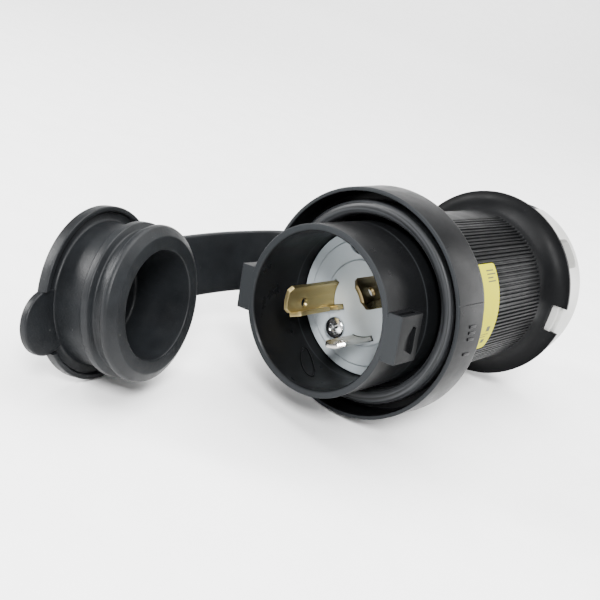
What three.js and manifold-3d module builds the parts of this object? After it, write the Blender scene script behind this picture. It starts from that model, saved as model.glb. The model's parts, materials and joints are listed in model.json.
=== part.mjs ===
// Watertight three-blade locking plug with a safety shroud and a rubber closure cap on a strap.
// Millimetres. The plug's axis is Y, its blades point to -Y, and the origin is the centre of the blade face.
import * as THREE from 'three';
import { mergeVertices } from 'three/addons/utils/BufferGeometryUtils.js';
import Module from 'manifold-3d';

const wasm = await Module();
wasm.setup();

// ---- driving dimensions -------------------------------------------------------------------------------
const GAP = 0.3;                 // clearance between neighbouring pieces
const ROUND_STEPS = 48;          // facets round the large turned pieces
const SMALL_STEPS = 16;          // facets round screws and holes

const SHROUD_R = 30.0;           // outside of the safety shroud
const SHROUD_BORE = 27.4;
const RIM_Y = -28.6;             // open end of the shroud
const COLLAR_FRONT_Y = -4.0;
const COLLAR_REAR_Y = 13.5;
const COLLAR_FRONT_R = 42.35;
const COLLAR_REAR_R = 42.9;
const COLLAR_BORE = 40.9;
const COLLAR_FLOOR_Y = 8.0;
const NECK_R = 31.9;
const NECK_END_Y = 29.0;
const LUG_R = 34.6;
const LUG_LENGTH = 13.0;
const LUG_HALF_WIDTH = 8.2;

const GASKET_INNER = 32.3;
const GASKET_OUTER = 37.6;
const GASKET_FRONT_Y = -0.6;

const CARRIER_DEPTH = 12.0;
const BLADE_R = 13.3;            // radius of the blades' middle surface
const BLADE_THICK = 1.5;
const GROUND_TIP_Y = -27.4;
const LINE_TIP_Y = -18.4;
const BLADE_TAIL_Y = 32.0;
const BLADE_HOLE_R = 1.75;

const BLOCK_END_Y = 40.0;
const BARREL_START_Y = 29.3;
const BARREL_CORE_R = 31.6;
const BARREL_RIB_R = 32.4;
const BARREL_BORE = 28.2;
const FLARE_START_Y = 83.8;
const SKIRT_R = 40.7;
const SKIRT_END_Y = 95.2;
const SHOULDER_BORE = 24.0;
const SHOULDER_START_Y = 74.0;
const RIB_PITCH = 5.25;          // degrees
const RIB_SECTOR = 126;          // degrees of each ribbed side
const SMOOTH_CLOCK = 74;         // middle of the smooth strip between the ribbed sides

const CLAMP_R = 37.4;            // inside the skirt
const CLAMP_OUTER_R = 38.6;      // behind the skirt
const CLAMP_START_Y = 93.4;
const CLAMP_DECK_Y = 99.0;
const CLAMP_END_Y = 118.0;
const JAW_HALF_WIDTH = 22.3;
const JAW_REST_GAP = 4.6;        // from the axis to each jaw's inner face
const CORD_GROOVE_R = 9.5;
const CLAMP_SCREW_SIDE = 15.5;

const STRAP_WIDTH = 24.0;
const STRAP_THICK = 2.8;
const CAP_PLANE_CLOCK = -4;      // plane that holds the cap, the strap's hinges and the plug's axis
const CAP_TILT = 13.4;           // degrees that the cap leans back towards the plug from square
const ROOT_INNER = 35.6;         // inner end of the strap's root, just outside the tether ring
const SWING_PIVOT = { rho: 39.2, y: 19.1 };
const BOW_PIVOT = { rho: 62.0, y: 4.8 };
const CAP_HOLD = { rho: 60.8, y: -47.0 };
const BEND_R = 14.3;
const FLANGE_R = 29.2;
const FLANGE_BACK = 25.8;        // cap length from its open face to the back of its flange
const HOLD_DEPTH = 24.2;         // strap's end on the cap, measured from the cap's open face
const HOLD_R = 30.9;             // the same, measured from the cap's axis
const TAB_R = 10.6;
const TAB_CENTRE_R = 26.3;
const TAB_CLOCK = -13;

const rad = THREE.MathUtils.degToRad;

// ---- helpers ------------------------------------------------------------------------------------------
// Clock angles run from -X towards +Z, seen along the plug's axis.
function clockPoint(clock, r, y) {
  return new THREE.Vector3(-r * Math.cos(rad(clock)), y, r * Math.sin(rad(clock)));
}

function toSolid(geometry, matrix) {
  const bare = geometry.index ? geometry.toNonIndexed() : geometry.clone();
  bare.deleteAttribute('normal');
  bare.deleteAttribute('uv');
  if (matrix) bare.applyMatrix4(matrix);
  const merged = mergeVertices(bare, 1e-4);
  const index = Array.from(merged.index.array);
  const kept = [];
  for (let i = 0; i < index.length; i += 3) {
    const [a, b, c] = index.slice(i, i + 3);
    if (a !== b && b !== c && a !== c) kept.push(a, b, c);
  }
  const build = (order) => new wasm.Manifold(new wasm.Mesh({
    numProp: 3,
    vertProperties: new Float32Array(merged.attributes.position.array),
    triVerts: new Uint32Array(order),
  }));
  const solid = build(kept);
  if (solid.volume() > 0) return solid;
  for (let i = 0; i < kept.length; i += 3) [kept[i], kept[i + 1]] = [kept[i + 1], kept[i]];
  return build(kept);
}

function turned(profile, steps = ROUND_STEPS) {
  const points = profile.map(([r, y]) => new THREE.Vector2(r, y));
  const onAxis = profile[0][0] === 0 && profile[profile.length - 1][0] === 0;
  if (!onAxis) points.push(points[0].clone());
  return toSolid(new THREE.LatheGeometry(points, steps));
}

function cylinderY(r, y0, y1, clock = 0, offset = 0, steps = SMALL_STEPS) {
  const centre = clockPoint(clock, offset, (y0 + y1) / 2);
  const move = new THREE.Matrix4().makeTranslation(centre.x, centre.y, centre.z);
  return toSolid(new THREE.CylinderGeometry(r, r, y1 - y0, steps), move);
}

// A box whose long side points outwards at a clock angle: radial from r0 to r1, side to side, along Y.
function radialBox(clock, r0, r1, side0, side1, y0, y1) {
  const box = new THREE.BoxGeometry(r1 - r0, y1 - y0, side1 - side0);
  const place = new THREE.Matrix4().makeRotationY(rad(clock));
  place.multiply(new THREE.Matrix4().makeTranslation(-(r0 + r1) / 2, (y0 + y1) / 2, (side0 + side1) / 2));
  return toSolid(box, place);
}

// A cylinder that points outwards at a clock angle.
function radialCylinder(clock, r, from, to, side, y, steps = SMALL_STEPS) {
  const place = new THREE.Matrix4().makeRotationY(rad(clock));
  place.multiply(new THREE.Matrix4().makeTranslation(-(from + to) / 2, y, side));
  place.multiply(new THREE.Matrix4().makeRotationZ(Math.PI / 2));
  return toSolid(new THREE.CylinderGeometry(r, r, to - from, steps), place);
}

// A ring sector between two radii and two clock angles, along Y.
function sector(r0, r1, clock0, clock1, y0, y1, steps = 12) {
  const shape = new THREE.Shape();
  const point = (r, clock) => [-r * Math.cos(rad(clock)), -r * Math.sin(rad(clock))];
  for (let i = 0; i <= steps; i += 1) {
    const [x, y] = point(r1, clock0 + ((clock1 - clock0) * i) / steps);
    if (i === 0) shape.moveTo(x, y);
    else shape.lineTo(x, y);
  }
  for (let i = steps; i >= 0; i -= 1) shape.lineTo(...point(r0, clock0 + ((clock1 - clock0) * i) / steps));
  shape.closePath();
  const geometry = new THREE.ExtrudeGeometry(shape, { depth: y1 - y0, bevelEnabled: false });
  const place = new THREE.Matrix4().makeTranslation(0, y0, 0);
  place.multiply(new THREE.Matrix4().makeRotationX(-Math.PI / 2));
  return toSolid(geometry, place);
}

const joined = (first, ...others) => others.reduce((sum, other) => sum.add(other), first);
const cutBy = (first, ...others) => others.reduce((rest, other) => rest.subtract(other), first);

const plugGroup = new THREE.Group();
const tetherGroup = new THREE.Group();

function addNode(name, solid, material, group = plugGroup) {
  const { vertProperties, triVerts, numProp } = solid.getMesh();
  const positions = new Float32Array((vertProperties.length / numProp) * 3);
  for (let i = 0; i < positions.length / 3; i += 1) {
    for (let k = 0; k < 3; k += 1) positions[3 * i + k] = vertProperties[numProp * i + k];
  }
  const geometry = new THREE.BufferGeometry();
  geometry.setAttribute('position', new THREE.BufferAttribute(positions, 3));
  geometry.setIndex(new THREE.BufferAttribute(new Uint32Array(triVerts), 1));
  geometry.computeVertexNormals();
  const mesh = new THREE.Mesh(geometry, material);
  mesh.name = name;
  group.add(mesh);
}

function finish(color, roughness, metalness = 0) {
  return new THREE.MeshStandardMaterial({ color, roughness, metalness });
}

const BLACK_PLASTIC = finish(0x232426, 0.45);
const BARREL_BLACK = finish(0x1d1e20, 0.6);
const CAP_RUBBER = finish(0x3d4144, 0.75);
const GASKET_RUBBER = finish(0x5c5f63, 0.5);
const FACE_NYLON = finish(0xc5c9cc, 0.4);
const WHITE_NYLON = finish(0xe6e6e3, 0.4);
const JAW_GREY = finish(0x46494d, 0.55);
const BRASS = finish(0xb59a55, 0.3, 1);
const BRONZE = finish(0x6f6340, 0.35, 1);
const NICKEL = finish(0xc9c9c6, 0.25, 1);
const STEEL = finish(0xb8bbbf, 0.3, 1);
const GREEN_SCREW = finish(0x3f7a4a, 0.4, 0.6);
const LABEL_YELLOW = finish(0xe5dd5a, 0.5);

// ---- shroud housing -----------------------------------------------------------------------------------
function lug(clock) {
  const end = RIM_Y + LUG_LENGTH;
  const body = radialBox(clock, SHROUD_R - 1, LUG_R, -LUG_HALF_WIDTH, LUG_HALF_WIDTH, RIM_Y, end);
  const lead = new THREE.Matrix4().makeRotationY(rad(clock));
  lead.multiply(new THREE.Matrix4().makeTranslation(-(LUG_R - 0.8), RIM_Y + 8.5, LUG_HALF_WIDTH - 5));
  lead.multiply(new THREE.Matrix4().makeRotationX(Math.PI / 2));
  const pocket = toSolid(new THREE.CylinderGeometry(3.4, 3.4, 2.2, 3), lead.multiply(
    new THREE.Matrix4()
      .makeRotationX(-Math.PI / 2)
      .multiply(new THREE.Matrix4().makeRotationZ(Math.PI / 2))));
  return cutBy(body, pocket);
}

function shroudHousing() {
  const shell = turned([
    [SHROUD_BORE + 0.6, RIM_Y],
    [SHROUD_R - 0.3, RIM_Y],
    [SHROUD_R, RIM_Y + 0.4],
    [SHROUD_R, COLLAR_FLOOR_Y],
    [COLLAR_BORE, COLLAR_FLOOR_Y],
    [COLLAR_BORE, COLLAR_FRONT_Y + 0.5],
    [COLLAR_BORE + 0.4, COLLAR_FRONT_Y],
    [COLLAR_FRONT_R - 0.4, COLLAR_FRONT_Y],
    [COLLAR_FRONT_R, COLLAR_FRONT_Y + 0.5],
    [COLLAR_REAR_R, COLLAR_REAR_Y - 1.2],
    [COLLAR_REAR_R - 0.8, COLLAR_REAR_Y],
    [NECK_R, COLLAR_REAR_Y],
    [NECK_R, NECK_END_Y],
    [SHROUD_BORE, NECK_END_Y],
    [SHROUD_BORE, RIM_Y + 0.6],
  ]);
  return joined(shell, lug(0), lug(180));
}

function collarGasket() {
  const middle = (GASKET_INNER + GASKET_OUTER) / 2;
  const half = (GASKET_OUTER - GASKET_INNER) / 2;
  const profile = [[GASKET_OUTER, COLLAR_FLOOR_Y - GAP]];
  for (let i = 0; i <= 6; i += 1) {
    const turn = (Math.PI * i) / 6;
    profile.push([middle + half * Math.cos(turn), GASKET_FRONT_Y + half - half * Math.sin(turn)]);
  }
  profile.push([GASKET_INNER, COLLAR_FLOOR_Y - GAP]);
  return turned(profile);
}

// ---- blades, face and terminals -----------------------------------------------------------------------
const GROUND = { clock: 1, from: -20, to: 22, holeClock: -7 };
const HOT = { clock: 142, from: 117, to: 167 };
const NEUTRAL = { clock: -103, from: -122, to: -84 };
const FACE_SCREWS = [
  { clock: -53, r: 15.2 },
  { clock: 76, r: 21.8 },
];

function bladeSlot(blade, margin) {
  const edge = (margin / BLADE_R) * (180 / Math.PI);
  const inner = BLADE_R - BLADE_THICK / 2 - margin;
  const outer = BLADE_R + BLADE_THICK / 2 + margin;
  return sector(inner, outer, blade.from - edge, blade.to + edge, -1, CARRIER_DEPTH + 1);
}

function blade(spec, tipY, holeFromTip) {
  const inner = BLADE_R - BLADE_THICK / 2;
  const outer = BLADE_R + BLADE_THICK / 2;
  const front = sector(inner, outer, spec.from, spec.to, tipY, CARRIER_DEPTH + 2);
  const tail = sector(inner, outer, spec.clock - 17, spec.clock + 17, CARRIER_DEPTH, BLADE_TAIL_Y, 6);
  const corner = (clock) => {
    const place = new THREE.Matrix4().makeRotationY(rad(clock));
    place.multiply(new THREE.Matrix4().makeTranslation(-BLADE_R, tipY, 0));
    place.multiply(new THREE.Matrix4().makeRotationX(Math.PI / 4));
    return toSolid(new THREE.BoxGeometry(4, 1.7, 1.7), place);
  };
  return cutBy(
    joined(front, tail),
    corner(spec.from),
    corner(spec.to),
    radialCylinder(spec.holeClock ?? spec.clock, BLADE_HOLE_R, inner - 2, outer + 2, 0, tipY + holeFromTip),
    radialCylinder(spec.clock, 2.2, inner - 2, outer + 2, 0, TERMINAL_Y),
  );
}

const TERMINAL_Y = 26.0;
const FOOT_LENGTH = 5.4;

function groundFoot(y0, y1) {
  const outer = BLADE_R + BLADE_THICK / 2;
  const side = -BLADE_THICK;
  return radialBox(GROUND.from, outer - FOOT_LENGTH, outer - 0.1, side, 0.05, y0, y1);
}

function groundBlade() {
  const body = blade(GROUND, GROUND_TIP_Y, 9.6);
  const frontFoot = groundFoot(GROUND_TIP_Y + 2.6, GROUND_TIP_Y + 19.5);
  const rootFoot = groundFoot(GROUND_TIP_Y + 24.5, CARRIER_DEPTH - 2);
  return joined(body, frontFoot, rootFoot);
}

function faceNotch(screw) {
  return cylinderY(4.9, -1, 3.2, screw.clock, screw.r + 0.9, 20);
}

function bladeCarrier() {
  const disc = turned([
    [0, 0],
    [15.6, 0],
    [16.2, 0.6],
    [23.2, 0.6],
    [23.8, 1.2],
    [SHROUD_BORE - GAP, 1.2],
    [SHROUD_BORE - GAP, CARRIER_DEPTH],
    [0, CARRIER_DEPTH],
  ]);
  const footSlot = radialBox(
    GROUND.from, 8.2, BLADE_R + 1.05, -BLADE_THICK - GAP, 0.4, -3, CARRIER_DEPTH + 1);
  const screwHoles = FACE_SCREWS.map(({ clock, r }) => cylinderY(2.0, -3, CARRIER_DEPTH + 1, clock, r));
  const slots = [GROUND, HOT, NEUTRAL].map((spec) => cutDown(bladeSlot(spec, GAP)));
  return cutBy(disc, footSlot, faceNotch(FACE_SCREWS[1]), ...screwHoles, ...slots);
}

const cutDown = (slot) => joined(slot, slot.translate([0, -2, 0]));

function terminalBlock() {
  const body = cylinderY(26.8, CARRIER_DEPTH + GAP, BLOCK_END_Y, 0, 0, ROUND_STEPS);
  const chambers = [GROUND, HOT, NEUTRAL].map(({ clock }) => (
    radialBox(clock, 10.2, 30, -6.4, 6.4, CARRIER_DEPTH - 1, BLOCK_END_Y + 1)));
  const holes = FACE_SCREWS.map(({ clock, r }) => cylinderY(2.0, CARRIER_DEPTH, CARRIER_DEPTH + 9, clock, r));
  const core = cylinderY(4.0, CARRIER_DEPTH + 10, BLOCK_END_Y + 1);
  return cutBy(body, core, ...chambers, ...holes);
}

function panScrew(headR, headHeight, shaftR, shaftLength) {
  const driver = new THREE.BoxGeometry(headR * 1.15, headHeight, 0.9);
  const sink = new THREE.Matrix4().makeTranslation(0, headHeight * 0.55, 0);
  const head = turned([
    [0, -shaftLength],
    [shaftR, -shaftLength],
    [shaftR, 0],
    [headR, 0],
    [headR * 0.96, headHeight * 0.5],
    [headR * 0.7, headHeight],
    [0, headHeight],
  ], SMALL_STEPS);
  const cross = new THREE.Matrix4().makeRotationY(Math.PI / 2).multiply(sink);
  return cutBy(head, toSolid(driver, sink), toSolid(driver, cross));
}

// Places a screw whose head points to -Y.
function screwFacingFront(solid, clock, r, seatY) {
  const at = clockPoint(clock, r, seatY);
  return solid.rotate([180, 0, 0]).translate([at.x, at.y, at.z]);
}

// Places a screw whose head points outwards at a clock angle.
function screwFacingOut(solid, clock, r, side, y) {
  return solid.rotate([0, 0, 90]).translate([-r, y, side]).rotate([0, clock, 0]);
}

function wireClamp(spec) {
  const plate = radialBox(spec.clock, 15.4, 17.4, -5.6, 5.6, TERMINAL_Y - 5, TERMINAL_Y + 5);
  return cutBy(plate, radialCylinder(spec.clock, 2.3, 14, 19, 0, TERMINAL_Y));
}

// ---- barrel -------------------------------------------------------------------------------------------
function ribbedSleeve() {
  const shape = new THREE.Shape();
  const points = [];
  const push = (r, clock) => points.push([-r * Math.cos(rad(clock)), -r * Math.sin(rad(clock))]);
  const ribs = Math.round(RIB_SECTOR / RIB_PITCH);
  for (const side of [90, 270]) {
    const start = SMOOTH_CLOCK + side - RIB_SECTOR / 2;
    for (let i = 0; i < ribs; i += 1) {
      const clock = start + i * RIB_PITCH;
      push(BARREL_CORE_R, clock);
      push(BARREL_RIB_R, clock + RIB_PITCH * 0.22);
      push(BARREL_RIB_R, clock + RIB_PITCH * 0.62);
      push(BARREL_CORE_R, clock + RIB_PITCH * 0.84);
    }
    const end = start + RIB_SECTOR;
    for (let i = 0; i <= 8; i += 1) {
      const edge = i === 0 ? 0.2 : 0;
      push(BARREL_RIB_R - 0.3, end + ((180 - RIB_SECTOR) * i) / 8 + edge);
    }
  }
  points.forEach(([x, y], i) => (i ? shape.lineTo(x, y) : shape.moveTo(x, y)));
  shape.closePath();
  const depth = FLARE_START_Y + 1 - BARREL_START_Y;
  const geometry = new THREE.ExtrudeGeometry(shape, { depth, bevelEnabled: false });
  const place = new THREE.Matrix4().makeTranslation(0, BARREL_START_Y, 0);
  place.multiply(new THREE.Matrix4().makeRotationX(-Math.PI / 2));
  return toSolid(geometry, place);
}

function flareProfile(r0, r1, y0, y1, steps) {
  const points = [];
  for (let i = 0; i <= steps; i += 1) {
    const turn = (Math.PI / 2) * (i / steps);
    points.push([r0 + (r1 - r0) * (1 - Math.cos(turn)), y0 + (y1 - y0) * Math.sin(turn)]);
  }
  return points;
}

const SKIRT_NOTCH = { clock: 189.5, halfWidth: 5.8, depth: 6.0 };
const ASSEMBLY_SCREWS = [145.5, 325.5];
const ASSEMBLY_SCREW_R = 28.2;

function barrel() {
  const flare = turned([
    [20, FLARE_START_Y],
    ...flareProfile(BARREL_RIB_R + 0.1, SKIRT_R, FLARE_START_Y, SKIRT_END_Y - 1.6, 6),
    [SKIRT_R, SKIRT_END_Y],
    [20, SKIRT_END_Y],
  ]);
  const hollow = turned([
    [0, BARREL_START_Y - 1],
    [BARREL_BORE, BARREL_START_Y - 1],
    [BARREL_BORE, SHOULDER_START_Y],
    [SHOULDER_BORE, SHOULDER_START_Y],
    [SHOULDER_BORE, CLAMP_START_Y - GAP],
    [CLAMP_R + GAP, CLAMP_START_Y - GAP],
    [CLAMP_R + GAP, SKIRT_END_Y + 1],
    [0, SKIRT_END_Y + 1],
  ]);
  const notch = radialBox(
    SKIRT_NOTCH.clock, 34.6, SKIRT_R + 2, -SKIRT_NOTCH.halfWidth, SKIRT_NOTCH.halfWidth,
    SKIRT_END_Y - SKIRT_NOTCH.depth, SKIRT_END_Y + 1);
  const holes = ASSEMBLY_SCREWS.map((clock) => (
    cylinderY(2.0, SHOULDER_START_Y + 1, CLAMP_START_Y + 1, clock, ASSEMBLY_SCREW_R)));
  const labelSeat = sector(
    BARREL_CORE_R - 0.1, SKIRT_R, LABEL.from, LABEL.to, LABEL.y0 - GAP, LABEL.y1 + GAP, SMALL_STEPS);
  return cutBy(joined(ribbedSleeve(), flare), hollow, notch, labelSeat, ...holes);
}

const LABEL = { from: 143.5, to: 206, y0: 29.8, y1: 45.3 };

function ratingLabel() {
  const edge = 0.6;
  const [from, to] = [LABEL.from + edge, LABEL.to - edge];
  return sector(BARREL_CORE_R + 0.2, BARREL_RIB_R + 0.15, from, to, LABEL.y0, LABEL.y1, SMALL_STEPS);
}

// ---- cord entry ---------------------------------------------------------------------------------------
function cordGrommet() {
  return turned([
    [11.0, SHOULDER_START_Y + 0.5],
    [SHOULDER_BORE - GAP, SHOULDER_START_Y + 0.5],
    [SHOULDER_BORE - GAP, CLAMP_START_Y - 2 * GAP],
    [9.0, CLAMP_START_Y - 2 * GAP],
    [8.6, CLAMP_START_Y - 6],
    [8.6, SHOULDER_START_Y + 6],
  ], 48);
}

function clampBody() {
  const body = turned([
    [12, CLAMP_START_Y],
    [CLAMP_R, CLAMP_START_Y],
    [CLAMP_R, SKIRT_END_Y + GAP],
    [CLAMP_OUTER_R, SKIRT_END_Y + GAP],
    [CLAMP_OUTER_R, 102],
    [CLAMP_OUTER_R - 0.3, 108],
    [CLAMP_OUTER_R - 0.7, 112],
    [CLAMP_OUTER_R - 1.8, 115],
    [CLAMP_OUTER_R - 3.6, 117.2],
    [CLAMP_OUTER_R - 5.4, CLAMP_END_Y],
    [12, CLAMP_END_Y],
  ]);
  const half = JAW_HALF_WIDTH + GAP;
  const channel = radialBox(SMOOTH_CLOCK, -45, 45, -half, half, CLAMP_DECK_Y, CLAMP_END_Y + 1);
  const slots = ASSEMBLY_SCREWS.map((clock) => joined(
    cylinderY(5, CLAMP_DECK_Y + 2, CLAMP_END_Y + 1, clock, ASSEMBLY_SCREW_R + 0.9),
    radialBox(clock, ASSEMBLY_SCREW_R + 0.9, 42, -5, 5, CLAMP_DECK_Y + 2, CLAMP_END_Y + 1)));
  const holes = ASSEMBLY_SCREWS.map((clock) => (
    cylinderY(2.0, CLAMP_START_Y - 1, CLAMP_END_Y, clock, ASSEMBLY_SCREW_R)));
  return cutBy(body, channel, ...slots, ...holes);
}

function clampJaw(clock, isNutSide) {
  const outer = turned([
    [0, CLAMP_DECK_Y + GAP],
    [CLAMP_OUTER_R - 0.5, CLAMP_DECK_Y + GAP],
    [CLAMP_OUTER_R - 0.8, 108],
    [CLAMP_OUTER_R - 1.2, 112],
    [CLAMP_OUTER_R - 2.4, 114.8],
    [CLAMP_OUTER_R - 4.2, 116.6],
    [CLAMP_OUTER_R - 6.2, CLAMP_END_Y - 0.6],
    [0, CLAMP_END_Y - 0.6],
  ]);
  const side = JAW_HALF_WIDTH;
  const block = radialBox(clock, JAW_REST_GAP, 45, -side, side, CLAMP_DECK_Y, CLAMP_END_Y + 1);
  const groove = cylinderY(CORD_GROOVE_R, CLAMP_DECK_Y - 1, CLAMP_END_Y + 1, clock, JAW_REST_GAP - 1.5, 32);
  const middleY = (CLAMP_DECK_Y + CLAMP_END_Y) / 2;
  const pockets = [];
  for (const screwSide of [-CLAMP_SCREW_SIDE, CLAMP_SCREW_SIDE]) {
    pockets.push(radialCylinder(clock, 2.4, 0, 40, screwSide, middleY));
    const [radius, sides] = isNutSide ? [4.6, 6] : [4.8, 24];
    pockets.push(radialCylinder(clock, radius, CLAMP_HEAD_R, 42, screwSide, middleY, sides));
  }
  return cutBy(outer.intersect(block), groove, ...pockets);
}

const CLAMP_HEAD_R = 20.0;

function clampNuts() {
  const middleY = (CLAMP_DECK_Y + CLAMP_END_Y) / 2;
  const clock = SMOOTH_CLOCK + 180;
  return [-CLAMP_SCREW_SIDE, CLAMP_SCREW_SIDE].map((side) => cutBy(
    radialCylinder(clock, 4.1, CLAMP_HEAD_R + GAP, CLAMP_HEAD_R + 3.4, side, middleY, 6),
    radialCylinder(clock, 2.35, CLAMP_HEAD_R - 2, CLAMP_HEAD_R + 6, side, middleY)));
}

// ---- tether ring, strap and cap -----------------------------------------------------------------------
// In the tether group -X is the way out from the plug's axis, Y is along it, and Z is across the strap.
const STRAP_SHIFT = 6.0;         // the strap's middle line lies this far above the cap's plane
const TIP_SHIFT = 3.2;           // the same at the cap's end

function strapLink(points, shift0, shift1) {
  const half = STRAP_THICK / 2;
  const sides = [half, -half].map((offset) => points.map((point, i) => {
    const before = points[Math.max(i - 1, 0)];
    const after = points[Math.min(i + 1, points.length - 1)];
    const along = new THREE.Vector2(after[0] - before[0], after[1] - before[1]).normalize();
    return [point[0] - along.y * offset, point[1] + along.x * offset];
  }));
  const outline = [...sides[0], ...sides[1].reverse()];
  const shape = new THREE.Shape(outline.map(([rho, y]) => new THREE.Vector2(-rho, y)));
  const geometry = new THREE.ExtrudeGeometry(shape, { depth: STRAP_WIDTH, bevelEnabled: false });
  geometry.translate(0, 0, -STRAP_WIDTH / 2);
  const place = geometry.attributes.position;
  const [first, last] = [points[0], points[points.length - 1]];
  const run = new THREE.Vector2(last[0] - first[0], last[1] - first[1]);
  for (let i = 0; i < place.count; i += 1) {
    const here = new THREE.Vector2(-place.getX(i) - first[0], place.getY(i) - first[1]);
    const share = THREE.MathUtils.clamp(here.dot(run) / run.lengthSq(), 0, 1);
    place.setZ(i, place.getZ(i) + THREE.MathUtils.lerp(shift0, shift1, share));
  }
  return toSolid(geometry);
}

function pointBetween(a, b, distanceFromA) {
  const along = new THREE.Vector2(b.rho - a.rho, b.y - a.y).normalize();
  return [a.rho + along.x * distanceFromA, a.y + along.y * distanceFromA];
}

const TIP_LENGTH = 3.0;          // the strap's last stretch, from its end pivot to the cap
const endPoint = pointBetween(CAP_HOLD, BOW_PIVOT, TIP_LENGTH);
const END_PIVOT = { rho: endPoint[0], y: endPoint[1] };

function tetherRing() {
  const ringOuter = NECK_R + 3.2;
  const ring = turned([
    [NECK_R + GAP, COLLAR_REAR_Y + GAP],
    [ringOuter - 0.6, COLLAR_REAR_Y + GAP],
    [ringOuter, COLLAR_REAR_Y + 1],
    [ringOuter, BARREL_START_Y - 1.3],
    [ringOuter - 0.6, BARREL_START_Y - 0.6],
    [NECK_R + GAP, BARREL_START_Y - 0.6],
  ]);
  const pad = radialBox(0, NECK_R + 2, ROOT_INNER - GAP, -STRAP_WIDTH / 2, STRAP_WIDTH / 2, 16, 21.2);
  return joined(ring, pad.translate([0, 0, STRAP_SHIFT]).intersect(turned([
    [NECK_R + GAP, COLLAR_REAR_Y + GAP],
    [ROOT_INNER - GAP, COLLAR_REAR_Y + GAP],
    [ROOT_INNER - GAP, BARREL_START_Y - 0.6],
    [NECK_R + GAP, BARREL_START_Y - 0.6],
  ])));
}

function strapRoot() {
  const ends = [[ROOT_INNER - 1, SWING_PIVOT.y], [SWING_PIVOT.rho - 0.8, SWING_PIVOT.y]];
  const inside = cylinderY(ROOT_INNER, 0, 40, 0, 0, ROUND_STEPS);
  return cutBy(strapLink(ends, STRAP_SHIFT, STRAP_SHIFT), inside);
}

function strapBend() {
  const radius = BEND_R;
  const centre = [BOW_PIVOT.rho - radius, BOW_PIVOT.y];
  const points = [[SWING_PIVOT.rho + 0.8, SWING_PIVOT.y]];
  for (let i = 0; i <= 8; i += 1) {
    const turn = (Math.PI / 2) * (1 - i / 8.5);
    points.push([centre[0] + radius * Math.cos(turn), centre[1] + radius * Math.sin(turn)]);
  }
  return strapLink(points, STRAP_SHIFT, STRAP_SHIFT);
}

function strapRun(a, b, gapA, gapB, shiftA, shiftB) {
  const length = Math.hypot(b.rho - a.rho, b.y - a.y);
  return strapLink([pointBetween(a, b, gapA), pointBetween(a, b, length - gapB)], shiftA, shiftB);
}

const CAP_PROFILE = [
  [18.2, 0],
  [22.7, 0],
  [25.5, 1.8],
  [25.9, 2.6],
  [25.9, 4.0],
  [23.8, 5.0],
  [23.8, 8.0],
  [25.9, 8.9],
  [25.9, 11.5],
  [24.0, 12.5],
  [24.0, 23.6],
  [27.2, 23.6],
  [27.4, 22.0],
  [FLANGE_R - 0.5, 22.0],
  [FLANGE_R, 22.6],
  [FLANGE_R, 25.0],
  [FLANGE_R - 0.8, FLANGE_BACK],
  [0, FLANGE_BACK],
  [0, 22.2],
  [17.0, 22.2],
  [17.9, 21.2],
];

// The cap is built with its open face at the origin and its back towards +Y, then laid in place.
function closureCap() {
  const cup = toSolid(new THREE.LatheGeometry(
    [...CAP_PROFILE, CAP_PROFILE[0]].map(([r, y]) => new THREE.Vector2(r, y)), ROUND_STEPS));
  const tab = cylinderY(TAB_R, 23.2, FLANGE_BACK - 0.2, TAB_CLOCK, TAB_CENTRE_R, 36);
  const mouth = radialBox(TAB_CLOCK, 24.4, FLANGE_R + 1, -TAB_R, TAB_R, 20, 23.2);
  return joined(cutBy(cup, mouth), tab);
}

function placeCap(solid) {
  const toPivot = new THREE.Matrix4().makeTranslation(-HOLD_R, -HOLD_DEPTH, 0);
  const turn = new THREE.Matrix4().makeRotationZ(Math.PI / 2 + rad(CAP_TILT));
  const move = new THREE.Matrix4().makeTranslation(-CAP_HOLD.rho, CAP_HOLD.y, 0);
  const place = move.multiply(turn).multiply(toPivot);
  return solid.transform(place.elements);
}

function strapTip() {
  const link = strapRun(END_PIVOT, CAP_HOLD, 0.9, -6.5, TIP_SHIFT + 0.2, TIP_SHIFT);
  return cutBy(link, placeCap(cylinderY(FLANGE_R + GAP, 16, 32, 0, 0, ROUND_STEPS)));
}

// ---- assembly -----------------------------------------------------------------------------------------
addNode('shroud_housing', shroudHousing(), BLACK_PLASTIC);
addNode('collar_gasket', collarGasket(), GASKET_RUBBER);
addNode('blade_carrier', bladeCarrier(), FACE_NYLON);
addNode('terminal_block', terminalBlock(), WHITE_NYLON);
addNode('ground_blade', groundBlade(), BRASS);
addNode('hot_blade', blade(HOT, LINE_TIP_Y, 6.4), BRONZE);
addNode('neutral_blade', blade(NEUTRAL, LINE_TIP_Y, 6.4), NICKEL);

const TERMINALS = [
  { name: 'ground', spec: GROUND, material: GREEN_SCREW },
  { name: 'hot', spec: HOT, material: BRASS },
  { name: 'neutral', spec: NEUTRAL, material: NICKEL },
];
for (const { name, spec, material } of TERMINALS) {
  addNode(`${name}_wire_clamp`, wireClamp(spec), BRASS);
  const screw = panScrew(4.0, 2.6, 1.9, 6.2);
  addNode(`${name}_terminal_screw`, screwFacingOut(screw, spec.clock, 17.8, 0, TERMINAL_Y), material);
}
const [centreScrew, edgeScrew] = FACE_SCREWS;
addNode('face_screw_centre', screwFacingFront(
  panScrew(4.1, 1.8, 1.7, 17), centreScrew.clock, centreScrew.r, -0.3), STEEL);
addNode('face_screw_edge', screwFacingFront(
  panScrew(3.4, 1.6, 1.7, 13), edgeScrew.clock, edgeScrew.r, 2.9), STEEL);

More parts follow.
